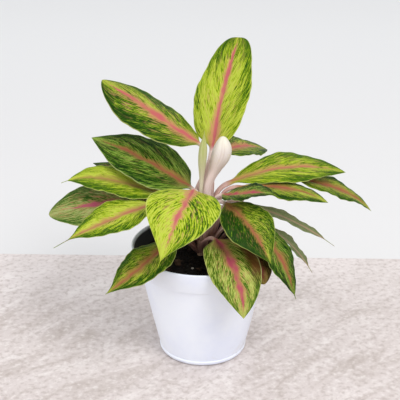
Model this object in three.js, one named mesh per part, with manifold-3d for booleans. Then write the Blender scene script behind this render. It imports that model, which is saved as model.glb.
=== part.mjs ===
// A potted chinese evergreen: a leafy clump with two flower spathes, in soil, in a tapered round pot.
// Millimetres, +Z up, origin in the middle of the pot's underside. The plant's front faces -Y.
import * as THREE from 'three';
import { mergeVertices } from 'three/addons/utils/BufferGeometryUtils.js';
import Module from 'manifold-3d';

const wasm = await Module();
wasm.setup();

// Driving dimensions.

const POT_HEIGHT = 122;
const RIM_RADIUS = 75;
const RIM_ROUND = 0.9; // the rounding of the rim's edge
const FOOT_RADIUS = 44.5;
const FOOT_BAND = 6; // the low band round the foot
const FOOT_STEP = 0.8; // how far the band stands out from the wall above it
const FOOT_FLAT = 39.5; // the radius of the flat underside
const POT_WALL = 2.4;
const POT_FLOOR = 3;
const WAIST_RADIUS = 65.8; // the tapered wall's outside, just under the collar
const POT_BULGE = 0.92; // 1 is a straight taper, and less bellies it out
const TAPER_STEPS = 4;
const COLLAR_HEIGHT = 25; // the band under the rim
const COLLAR_FOOT = POT_HEIGHT - COLLAR_HEIGHT;
const COLLAR_STEP = 2.6; // how far the collar stands out from the wall under it
const POT_SIDES = 48;
const DRAIN_HOLES = 5;
const DRAIN_RADIUS = 4;
const DRAIN_CIRCLE = 25;

const SOIL_GAP = 0.4; // between the soil and the pot
const SOIL_LEVEL = 108;
const SOIL_MOUND = 3; // how much higher the soil is round the stem
const SOIL_LUMP = 1.2;
const SOIL_RADIUS = 64.4; // at its top, inside the collar
const SOIL_RINGS = 7;
const SOIL_SIDES = 36;

const STEM_RADIUS = 6;
const STEM_TOP_RADIUS = 4.4;
const STEM_FOOT = 66; // the lower end of the cane, in its hole in the soil
const STEM_TOP = 168;
const STEM_JOINTS = 8; // the ring scars of fallen leaves
const SCAR_DEPTH = 0.35;
const STEM_SIDES = 14;
const CLEARANCE = 0.35; // between the stem and what grows on it, or the soil round it

const PETIOLE_RADIUS = 2;
const SHEATH_RADIUS = 2.3; // the petiole at its lower end
const PETIOLE_STEPS = 5;
const BLADE_THICKNESS = 0.8;
const BLADE_CURL = 0.16; // how far the margins bend down again, as a share of the half width
const BASE_BLUNT = 0.7; // the blade's base, from blunt at 0.3 to drawn out at 1.5
const TIP_POINT = 0.9; // the same for its tip
const BROADEST = 0.45; // where along the blade it is widest
const TAIL_RADIUS = 0.5; // half the width of the blade's thin end
const MARGIN_WAVE = 1.2;
const WAVES = 2.5;
const BLADE_STEPS = 12;
const BLADE_COLUMNS = 7; // points from margin to margin, on each face

// Each leaf stands in an upright plane through the stem, turned by its azimuth from +X.
// from is where its petiole starts: [direction round the stem from +X, height], and spread is the
// petiole's first lean outwards. base and tip are the ends of the blade in the leaf's plane:
// [distance from the stem's axis, height]. rise is how many degrees steeper than the straight line
// from base to tip the blade sets out, and droop how many degrees it ends below that line.
// roll lifts the left margin, seen from the stem, fold lifts both, and sway bows the midrib to the left.
// blunt and point shape the blade's two ends, and tail is the share of it that is a thin tail.
const LEAVES = {
  leaf_crown: { azimuth: 66, from: [66, 154], spread: 4, base: [24, 216], tip: [92, 320],
    rise: 6, droop: 4, width: 67, roll: -12, fold: 12, sway: 2, point: 0.35 },
  leaf_upper_left: { azimuth: 152, from: [108, 150], spread: 0, base: [1, 229], tip: [118, 282],
    rise: 0, droop: 0, width: 54, roll: -18, fold: -9, sway: -4, point: 0.62, broadest: 0.55, blunt: 0.4 },
  leaf_upper_right: { azimuth: 52, from: [26, 148], spread: 0, base: [21, 215], tip: [116, 193],
    rise: 14, droop: 12, width: 45, roll: 16, fold: 12, sway: 0 },
  leaf_left_dark: { azimuth: 158, from: [150, 146], spread: 6, base: [11, 181], tip: [126, 222],
    rise: 8, droop: 10, width: 66, roll: -18, fold: 10, sway: 0, blunt: 0.5 },
  leaf_left_back: { azimuth: 148, from: [137, 122], spread: 26, base: [26, 172], tip: [142, 183],
    rise: 10, droop: 10, width: 46, roll: -4, fold: 10, sway: 0 },
  leaf_left_middle: { azimuth: 178, from: [177, 134], spread: 18, base: [40, 177], tip: [145, 187.5],
    rise: 8, droop: 30, width: 48, roll: -16, fold: 12, sway: 0, tail: 0.06, blunt: 0.5 },
  leaf_left_low: { azimuth: 182, from: [190, 117], spread: 22, base: [50, 164], tip: [158, 157],
    rise: 14, droop: 14, width: 62, roll: -26, fold: 10, sway: 0, point: 0.6, blunt: 0.5 },
  leaf_left_front: { azimuth: 206, from: [210, 129], spread: 18, base: [52, 177], tip: [160, 150],
    rise: 6, droop: 8, width: 50, roll: -12, fold: 12, sway: 0, point: 1.5, tail: 0.12 },
  leaf_front: { azimuth: 248, from: [246, 136], spread: 14, base: [24, 190], tip: [112, 147],
    rise: 44, droop: 34, width: 73, roll: -8, fold: 8, sway: 7, point: 1.35, broadest: 0.4, tail: 0.04 },
  leaf_rim_left: { azimuth: 224.5, from: [226, 114.5], spread: 44, base: [43, 138.5], tip: [131, 111.5],
    rise: 14, droop: 4, width: 51, roll: -2, fold: 10, sway: 7, point: 1.3 },
  leaf_rim_right: { azimuth: 291, from: [262, 116], spread: 30, base: [31, 140], tip: [108, 90],
    rise: 34, droop: 30, width: 53, roll: 6, fold: 10, sway: 5, blunt: 0.42 },
  leaf_rim_shaded: { azimuth: 316.3, from: [298, 113.5], spread: 40, base: [46, 137], tip: [85, 104.8],
    rise: 30, droop: 40, width: 42, roll: 2, fold: 10, sway: 0, point: 0.6 },
  leaf_right_front: { azimuth: 310.5, from: [289, 127], spread: 16, base: [33, 178], tip: [100, 136],
    rise: 26, droop: 22, width: 53, roll: 12, fold: 10, sway: 0, point: 1.15 },
  leaf_right_low: { azimuth: 330, from: [326, 117], spread: 26, base: [58, 158], tip: [108, 85],
    rise: 22, droop: 16, width: 38, roll: 10, fold: 10, sway: 0, tail: 0.05 },
  leaf_right_small: { azimuth: 323.5, from: [322, 134.5], spread: 30, base: [24, 182], tip: [85, 198],
    rise: 0, droop: 10, width: 34, roll: 12, fold: 14, sway: 0, blunt: 0.5 },
  leaf_right_inner: { azimuth: 349, from: [0, 130], spread: 18, base: [34, 187.5], tip: [127, 178],
    rise: 14, droop: 22, width: 42, roll: 4, fold: 4, sway: 0, broadest: 0.55, blunt: 0.9 },
  leaf_right_long: { azimuth: 7, from: [4, 120], spread: 34, base: [91, 192], tip: [179, 149],
    rise: 10, droop: 22, width: 38, roll: 12, fold: 12, sway: 0 },
  leaf_right_behind: { azimuth: 352, from: [350, 112], spread: 34, base: [60, 150], tip: [115, 95],
    rise: 20, droop: 16, width: 26, roll: -38, fold: 10, sway: 0, tail: 0.1 },
  leaf_right_upper: { azimuth: 10, from: [344, 147], spread: 8, base: [25, 186.8], tip: [151, 191],
    rise: 20, droop: 20, width: 54, roll: 14, fold: 10, sway: 0, blunt: 0.95, broadest: 0.5 },
  leaf_right_narrow: { azimuth: 14, from: [36, 114], spread: 34, base: [36, 166], tip: [148, 101],
    rise: 12, droop: 10, width: 22, roll: -40, fold: 6, sway: 0, tail: 0.1 },
  leaf_back_left: { azimuth: 145, from: [160, 113], spread: 34, base: [34, 148], tip: [102, 127],
    rise: 14, droop: 10, width: 34, roll: 0, fold: 10, sway: 0 },
  leaf_back: { azimuth: 112, from: [111, 114], spread: 26, base: [36, 140], tip: [128, 98],
    rise: 26, droop: 20, width: 50, roll: 0, fold: 10, sway: 0 },
  leaf_back_right: { azimuth: 72, from: [74, 114], spread: 28, base: [40, 138], tip: [130, 95],
    rise: 26, droop: 20, width: 48, roll: 0, fold: 10, sway: 0 },
};

const COLOURS = {
  pot: '#e9ebfb', soil: '#2a211c', stem: '#b3a184', leaf: '#9fbf3a',
  spathe_white: '#f1ece6', spathe_green: '#c9d99a',
};

const UP = new THREE.Vector3(0, 0, 1);
const { lerp, smoothstep, degToRad, radToDeg } = THREE.MathUtils;

function closed(geometry) {
  geometry.deleteAttribute('normal');
  geometry.deleteAttribute('uv');
  return mergeVertices(geometry, 1e-4);
}

function toSolid(geometry) {
  const merged = closed(geometry);
  return new wasm.Manifold(new wasm.Mesh({
    numProp: 3,
    vertProperties: new Float32Array(merged.attributes.position.array),
    triVerts: new Uint32Array(merged.index.array),
  }));
}

function toGeometry(solid) {
  const mesh = solid.getMesh();
  const geometry = new THREE.BufferGeometry();
  geometry.setAttribute('position', new THREE.BufferAttribute(mesh.vertProperties, 3));
  geometry.setIndex(new THREE.BufferAttribute(mesh.triVerts, 1));
  return geometry;
}

// A profile of [radius, height] points, turned round the Z axis.
function turned(profile, sides) {
  const points = profile.map(([radius, height]) => new THREE.Vector2(radius, height));
  return new THREE.LatheGeometry(points, sides).rotateX(Math.PI / 2);
}

// A closed skin over rings of points, all of the same count, from the first ring to the last.
// The first half of each ring is its upper face, and the lower face splits along the same diagonals.
function lofted(rings) {
  const count = rings[0].length;
  const index = [];
  for (let k = 0; k + 1 < rings.length; k += 1) {
    for (let i = 0; i < count; i += 1) {
      const a = k * count + i;
      const b = k * count + ((i + 1) % count);
      const upper = i < count / 2;
      if (upper) index.push(a, b, b + count, a, b + count, a + count);
      else index.push(a, b, a + count, b, b + count, a + count);
    }
  }
  const last = (rings.length - 1) * count;
  for (let i = 1; i + 1 < count; i += 1) {
    index.push(0, i + 1, i);
    index.push(last, last + i, last + i + 1);
  }
  const geometry = new THREE.BufferGeometry();
  const positions = rings.flat().flatMap((point) => [point.x, point.y, point.z]);
  geometry.setAttribute('position', new THREE.Float32BufferAttribute(positions, 3));
  geometry.setIndex(index);
  return geometry;
}

// The outside of the tapered wall at a height between the foot and the collar.
function potRadius(height) {
  return lerp(FOOT_RADIUS, WAIST_RADIUS, (height / COLLAR_FOOT) ** POT_BULGE);
}

// Points up the tapered wall, inset from its outside.
function taper(from, inset) {
  const points = [];
  for (let k = 0; k <= TAPER_STEPS; k += 1) {
    const height = lerp(from, COLLAR_FOOT, k / TAPER_STEPS);
    points.push([potRadius(height) - inset, height]);
  }
  return points;
}

function makePot() {
  const bandRadius = potRadius(FOOT_BAND) + FOOT_STEP;
  const outer = [
    [0, 0], [FOOT_FLAT, 0], [bandRadius - 2, 0.8], [bandRadius - 0.4, 3], [bandRadius, FOOT_BAND - 1],
    ...taper(FOOT_BAND, 0), [WAIST_RADIUS + COLLAR_STEP, COLLAR_FOOT + 1.2],
    [RIM_RADIUS - RIM_ROUND / 2, POT_HEIGHT - 2 * RIM_ROUND],
    [RIM_RADIUS, POT_HEIGHT - RIM_ROUND], [RIM_RADIUS - RIM_ROUND, POT_HEIGHT],
  ];
  const inner = [
    [RIM_RADIUS - POT_WALL, POT_HEIGHT], [WAIST_RADIUS + COLLAR_STEP - POT_WALL, COLLAR_FOOT + 4],
    ...taper(FOOT_BAND + 2, POT_WALL).reverse(), [FOOT_FLAT, POT_FLOOR], [0, POT_FLOOR],
  ];
  let solid = toSolid(turned([...outer, ...inner], POT_SIDES));
  for (let i = 0; i < DRAIN_HOLES; i += 1) {
    const angle = (2 * Math.PI * i) / DRAIN_HOLES;
    const drill = new THREE.CylinderGeometry(DRAIN_RADIUS, DRAIN_RADIUS, 4 * POT_FLOOR, 16);
    drill.rotateX(Math.PI / 2);
    drill.translate(DRAIN_CIRCLE * Math.cos(angle), DRAIN_CIRCLE * Math.sin(angle), 0);
    solid = solid.subtract(toSolid(drill));
  }
  return toGeometry(solid);
}

// The soil fills the pot, with a plain hole for the cane, and its top is lumpy by a formula.
function makeSoil() {
  const hole = STEM_RADIUS + CLEARANCE;
  const underside = POT_FLOOR + SOIL_GAP;
  const top = [];
  for (let k = 0; k <= SOIL_RINGS; k += 1) {
    const radius = lerp(SOIL_RADIUS, hole, k / SOIL_RINGS);
    top.push([radius, SOIL_LEVEL + SOIL_MOUND * (1 - radius / SOIL_RADIUS) ** 2]);
  }
  const profile = [
    [0, underside], [FOOT_FLAT - SOIL_GAP, underside], ...taper(FOOT_BAND + 3, POT_WALL + SOIL_GAP),
    ...top, [hole, STEM_FOOT - CLEARANCE], [0, STEM_FOOT - CLEARANCE],
  ];
  const geometry = closed(turned(profile, SOIL_SIDES));
  const position = geometry.attributes.position;
  for (let i = 0; i < position.count; i += 1) {
    const x = position.getX(i);
    const y = position.getY(i);
    const radius = Math.hypot(x, y);
    const inTop = position.getZ(i) > SOIL_LEVEL - 0.1 && radius > hole + 1 && radius < SOIL_RADIUS - 1;
    const lump = SOIL_LUMP * (Math.sin(0.31 * x + 0.12 * y) + Math.sin(0.27 * y - 0.16 * x + 2));
    if (inTop) position.setZ(i, position.getZ(i) + lump);
  }
  return toGeometry(toSolid(geometry));
}

// A round form along a curve that runs mostly upwards. radiusAt gives its radius from 0 to 1 along it.
function stalk(curve, radiusAt, steps, sides) {
  const rings = [];
  for (let k = 0; k <= steps; k += 1) {
    const t = k / steps;
    const along = curve.getTangent(t);
    const across = new THREE.Vector3(0, 1, 0).cross(along).normalize();
    const back = along.clone().cross(across);
    const ring = [];
    for (let i = 0; i < sides; i += 1) {
      const angle = (2 * Math.PI * i) / sides;
      ring.push(curve.getPoint(t)
        .addScaledVector(across, radiusAt(t) * Math.cos(angle))
        .addScaledVector(back, radiusAt(t) * Math.sin(angle)));
    }
    rings.push(ring);
  }
  return lofted(rings);
}

function stemRadius(height) {
  return lerp(STEM_RADIUS, STEM_TOP_RADIUS, smoothstep(height, SOIL_LEVEL, STEM_TOP));
}

function makeStem() {
  const axis = new THREE.LineCurve3(new THREE.Vector3(0, 0, STEM_FOOT), new THREE.Vector3(0, 0, STEM_TOP));
  const steps = 3 * STEM_JOINTS;
  const radiusAt = (t) => {
    const scar = Math.round(t * steps) % 3 === 1 ? SCAR_DEPTH : 0;
    return stemRadius(lerp(STEM_FOOT, STEM_TOP, t)) - scar;
  };
  return stalk(axis, radiusAt, steps, STEM_SIDES);
}

// Half of the blade's width at t from its base to its tip: widest before the middle, drawn out to a point.
function bladeHalfWidth(t, { width, blunt = BASE_BLUNT, point = TIP_POINT, broadest = BROADEST, tail = 0 }) {
  const along = Math.min(t / (1 - tail), 1);
  const shift = Math.log(0.5) / Math.log(broadest);
  const outline = Math.sin(Math.PI * along ** shift) ** lerp(blunt, point, along);
  return Math.max((width / 2) * outline, TAIL_RADIUS);
}

// The cross-section of a leaf at t along its blade, or of its petiole where t is negative, as
// [sideways, up] pairs: first the upper face from the left margin to the right, then the lower one back.
function leafSection(leaf, t) {
  const columns = BLADE_COLUMNS;
  const round = lerp(PETIOLE_RADIUS, SHEATH_RADIUS, smoothstep(-t, 0, 1));
  const flatness = smoothstep(t, 0, 0.12);
  const half = bladeHalfWidth(Math.max(t, 0), leaf);
  const keel = (1 - Math.max(t, 0)) * (PETIOLE_RADIUS - BLADE_THICKNESS / 2);
  const section = [];
  for (let i = 0; i < 2 * columns; i += 1) {
    const upper = i < columns;
    const angle = (Math.PI * (i + 0.5)) / columns;
    const c = upper ? 1 - (2 * i) / (columns - 1) : (2 * (i - columns)) / (columns - 1) - 1;
    const side = Math.abs(c);
    const wave = MARGIN_WAVE * Math.sin(2 * Math.PI * WAVES * t + (c > 0 ? 0 : 2.2)) * Math.sin(Math.PI * t);
    const lift = half * (Math.tan(degToRad(leaf.fold)) * side - BLADE_CURL * side ** 2) + wave * side ** 2;
    const face = upper ? BLADE_THICKNESS / 2 : -BLADE_THICKNESS / 2 - keel * Math.max(0, 1 - 3 * side);
    section.push([
      lerp(round * Math.cos(angle), half * c, flatness),
      lerp(round * Math.sin(angle), lift + face, flatness),
    ]);
  }
  return section;
}

// The leaf's midline: the petiole from the stem to the blade's base, then the blade to its tip.
function leafCurves(leaf) {
  const turn = degToRad(leaf.azimuth);
  const outward = new THREE.Vector3(Math.cos(turn), Math.sin(turn), 0);
  const left = new THREE.Vector3(-Math.sin(turn), Math.cos(turn), 0);
  const place = ([radius, height], side = 0) => new THREE.Vector3(0, 0, height)
    .addScaledVector(outward, radius).addScaledVector(left, side);
  const step = (from, degrees, length, side = 0) => place([
    from[0] + length * Math.cos(degToRad(degrees)), from[1] + length * Math.sin(degToRad(degrees)),
  ], side);
  const [fromAzimuth, fromHeight] = leaf.from;
  const seat = SHEATH_RADIUS * Math.cos(degToRad(leaf.spread)) + CLEARANCE;
  const start = [stemRadius(fromHeight) + seat, fromHeight];
  const aside = degToRad(fromAzimuth - leaf.azimuth);
  const petioleLength = Math.hypot(leaf.base[0] - start[0], leaf.base[1] - start[1]);
  const bladeLength = Math.hypot(leaf.tip[0] - leaf.base[0], leaf.tip[1] - leaf.base[1]);
  const slope = radToDeg(Math.atan2(leaf.tip[1] - leaf.base[1], leaf.tip[0] - leaf.base[0]));
  const petiole = new THREE.CubicBezierCurve3(
    place(start).applyAxisAngle(UP, aside),
    step(start, 90 - leaf.spread, 0.45 * petioleLength).applyAxisAngle(UP, aside),
    step(leaf.base, slope + leaf.rise, -Math.min(0.35 * petioleLength, 0.8 * leaf.base[0])), place(leaf.base),
  );
  const blade = new THREE.CubicBezierCurve3(
    place(leaf.base), step(leaf.base, slope + leaf.rise, 0.36 * bladeLength, leaf.sway),
    step(leaf.tip, slope - leaf.droop, -0.36 * bladeLength, leaf.sway), place(leaf.tip),
  );
  return { petiole, blade, left };
}

function makeLeaf(leaf) {
  const { petiole, blade, left } = leafCurves(leaf);
  const rings = [];
  const addRing = (curve, u, t) => {
    const centre = curve.getPoint(u);
    const along = curve.getTangent(u);
    const up = along.clone().cross(left).normalize();
    const across = up.clone().cross(along);
    const roll = degToRad(leaf.roll) * smoothstep(t, -0.2, 0.3);
    const side = across.clone().multiplyScalar(Math.cos(roll)).addScaledVector(up, Math.sin(roll));
    const normal = up.multiplyScalar(Math.cos(roll)).addScaledVector(across, -Math.sin(roll));
    rings.push(leafSection(leaf, t).map(([sideways, lift]) => centre.clone()
      .addScaledVector(side, sideways).addScaledVector(normal, lift)));
  };
  for (let k = 0; k < PETIOLE_STEPS; k += 1) addRing(petiole, k / PETIOLE_STEPS, k / PETIOLE_STEPS - 1);
  for (let k = 0; k <= BLADE_STEPS; k += 1) {
    const t = (1 - Math.cos((Math.PI * k) / BLADE_STEPS)) / 2;
    addRing(blade, t, t);
  }
  return lofted(rings);
}

// The white spathe is a closed hood on a thick stalk, and the green one a narrow rolled blade.
function makeWhiteSpathe() {
  const axis = new THREE.CatmullRomCurve3([
    new THREE.Vector3(3.6, -3.8, STEM_TOP + 0.5), new THREE.Vector3(4.8, -6.6, 190),
    new THREE.Vector3(12.5, -8, 209), new THREE.Vector3(19, -9, 226), new THREE.Vector3(20, -9, 242.5),
  ]);
  const radiusAt = (t) => 4.8 + 4.5 * Math.sin(Math.PI * smoothstep(t, 0.3, 1.15)) ** 1.3
    - 5 * smoothstep(t, 0.86, 1) ** 2;
  return stalk(axis, radiusAt, 14, 14);
}

function makeGreenSpathe() {
  const axis = new THREE.CatmullRomCurve3([
    new THREE.Vector3(-3.8, -4.9, STEM_TOP + 0.5), new THREE.Vector3(-2.5, -10.3, 190),
    new THREE.Vector3(-1, -12.5, 218), new THREE.Vector3(1.5, -12.5, 249.5),
  ]);
  const radiusAt = (t) => 2.3 + 1.9 * Math.sin(Math.PI * smoothstep(t, 0.35, 1.1))
    - 2.2 * smoothstep(t, 0.8, 1);
  return stalk(axis, radiusAt, 12, 12);
}

function finish(colour, roughness) {
  return new THREE.MeshStandardMaterial({ color: colour, roughness, metalness: 0 });
}

const plant = new THREE.Group();

function add(name, geometry, material) {
  const mesh = new THREE.Mesh(geometry, material);
  mesh.name = name;
  plant.add(mesh);
}

add('pot', makePot(), finish(COLOURS.pot, 0.35));
add('soil', makeSoil(), finish(COLOURS.soil, 0.95));
add('stem', makeStem(), finish(COLOURS.stem, 0.6));
add('spathe_white', makeWhiteSpathe(), finish(COLOURS.spathe_white, 0.5));
add('spathe_green', makeGreenSpathe(), finish(COLOURS.spathe_green, 0.5));
for (const [name, leaf] of Object.entries(LEAVES)) add(name, makeLeaf(leaf), finish(COLOURS.leaf, 0.4));

export default plant;
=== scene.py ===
"""A potted chinese evergreen: variegated leaves and two flower spathes, in soil, in a white plastic pot."""
import math
import random

import bmesh
import bpy
from mathutils import Matrix, Vector, noise


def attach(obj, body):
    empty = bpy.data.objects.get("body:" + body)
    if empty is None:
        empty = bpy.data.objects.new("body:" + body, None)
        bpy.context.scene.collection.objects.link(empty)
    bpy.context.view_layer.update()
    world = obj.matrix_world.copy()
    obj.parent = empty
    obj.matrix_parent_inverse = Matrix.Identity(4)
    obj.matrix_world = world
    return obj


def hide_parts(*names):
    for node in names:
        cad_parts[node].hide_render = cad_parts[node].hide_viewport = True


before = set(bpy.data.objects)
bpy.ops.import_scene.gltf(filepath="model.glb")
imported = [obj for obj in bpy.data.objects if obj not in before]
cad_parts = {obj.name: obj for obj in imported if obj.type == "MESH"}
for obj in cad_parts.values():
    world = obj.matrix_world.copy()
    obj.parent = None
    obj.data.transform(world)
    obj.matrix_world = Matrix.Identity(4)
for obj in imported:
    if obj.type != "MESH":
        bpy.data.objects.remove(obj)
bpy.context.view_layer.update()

# Sizes are in millimetres, as in the part's own source, and each finished mesh is scaled to metres.

MM = 0.001

# The pot: a foot band, a wall that tapers up to the waist, and a collar that stands out above it.
POT_HEIGHT = 122
RIM_RADIUS = 75
FOOT_RADIUS = 44.5
FOOT_BAND = 6
FOOT_STEP = 0.8
FOOT_FLAT = 39.5
FOOT_ROUND = 1.5
POT_WALL = 2.4
POT_FLOOR = 3
WAIST_RADIUS = 65.8
POT_BULGE = 0.92
COLLAR_FOOT = 97
COLLAR_STEP = 2.6
COLLAR_ROUND = 1.1
DRAIN_HOLES = 5
DRAIN_RADIUS = 4
DRAIN_CIRCLE = 25
POT_SIDES = 144
ARC_STEPS = 4

# The soil stands off the pot by its gap and laps over the cane's surface. Each layer of its lumps has how
# fast the lumps follow each other, how high they are, and a depth in the noise. They fade at the margin.
SOIL_LEVEL = 108
SOIL_MOUND = 3
SOIL_RADIUS = 64.6
SOIL_GAP = 0.3
SOIL_LAP = 0.3
SOIL_MARGIN = 5
SOIL_LUMPS = (0.055, 2.2, 0)
SOIL_PEBBLES = (0.19, 1.1, 9)
SOIL_CRUMBS = (0.55, 1.0, 4)
SOIL_SIDES = 150
SOIL_RINGS = 46

# What lies loose on the soil: how many lumps, their least and greatest width, how flat they are, the seed
# of the draws that place them, and their paint: its name, dark and light tone, and how fine its grain is.
LITTER_MARGIN = 3
LITTER_SINK = 0.1
LITTER = {
    "soil_clods": dict(count=620, width=(1.2, 4.2), flat=(0.6, 1.0), seed=11,
                       paint=("clods", "100b09", "281e18", 260)),
    "bark_chips": dict(count=46, width=(3, 8), flat=(0.18, 0.35), seed=23,
                       paint=("bark", "2a1d15", "5a4232", 180)),
    "pale_grains": dict(count=8, width=(1.2, 2.6), flat=(0.8, 1.1), seed=37,
                        paint=("perlite", "b9b2a8", "dcd7cf", 400)),
}

# The cane, narrower above the soil, with a shallow groove at each joint.
STEM_RADIUS = 6
STEM_TOP_RADIUS = 4.4
STEM_FOOT = 66
STEM_TOP = 168
STEM_JOINTS = 8
GROOVE_DEPTH = 0.4
GROOVE_SHARE = 0.35
CLEARANCE = 0.35

# A spathe is rolled: its free edge winds up it by a share of a turn, and flutes run along it.
LAP_START = 0.4
LAP_WIND = 0.18
LAP_EDGE = 0.06
FLUTES = 9
FLUTE_DEPTH = 0.07
SPATHE_SIDES = 64
SPATHE_RINGS = 70

# The petiole is round, and its lower part widens and flattens into a sheath that wraps round the stem. The
# sheath begins, is full and tucks in again at these shares of the petiole's length, from the blade down.
PETIOLE_RADIUS = 2
SHEATH_RADIUS = 2.3
SHEATH_WIDEN = 0.75
SHEATH_TUCK = 0.4
SHEATH_FLATTEN = 0.35
SHEATH_BEGINS = 0.15
SHEATH_FULL = 0.75
SHEATH_TUCKS = 0.7
STEM_WRAP = 7.5

# The blade: its halves are folded up and curl over, its margin waves and crinkles, the surface swells
# between the side veins, and a groove above and a keel below follow the rib. The waves of the right half
# are shifted against those of the left. At FLAT_BY of its length no roundness of the petiole is left.
BLADE_THICKNESS = 0.5
MARGIN_THINNER = 0.4
TIP_THINNER = 0.6
FLAT_BY = 0.12
BLADE_CURL = 0.16
BASE_BLUNT = 0.7
TIP_POINT = 0.9
BROADEST = 0.45
TAIL_RADIUS = 0.35
MARGIN_WAVE = 1.2
WAVES = 2.5
WAVE_SHIFT = 2.2
CRINKLE = 0.45
CRINKLES = 8.5
CRINKLE_SHIFT = 1.7
VEINS = 11
VEIN_LEAN = 0.64
VEIN_BEND = 1.15
QUILT = 0.32
RIB_GROOVE = 0.55
RIB_WIDTH = 1.5
KEEL_WIDTH = 2.2
BLADE_RINGS = 92
PETIOLE_RINGS = 18
BLADE_COLUMNS = 33
COLUMN_CROWDING = 1.25
SEED_STEP = 3.7

# How far the handles of the midline's two curves reach, as shares of the petiole's and the blade's length.
PETIOLE_FOOT_HANDLE = 0.45
PETIOLE_TOP_HANDLE = 0.35
BLADE_HANDLE = 0.36

# The stage, the lights and the camera are in metres. Past the wall's foot the floor turns paler, standing in
# for a wall.
FLOOR_SIZE = 6
WALL_FOOT = (0.2125, 0.2155)
WALL_SLANT = 0.03
PLANT_MIDDLE = (0, 0, 0.15)
LIGHTS = {
    "key": dict(place=(0.75, -1.15, 1.7), size=1.1, power=22, tint=(1.0, 0.99, 0.97)),
    "fill": dict(place=(-1.5, -0.9, 0.9), size=1.4, power=8, tint=(0.95, 0.97, 1.0)),
}
ROOM_TINT = (0.97, 0.98, 1.0, 1)
ROOM_STRENGTH = 0.86
CAMERA_PLACE = (-0.003, -0.850, 0.528)
CAMERA_PITCH = 67.2
CAMERA_LENS = 81
CAMERA_SENSOR = 36
CAMERA_CLIP = 0.05

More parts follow.
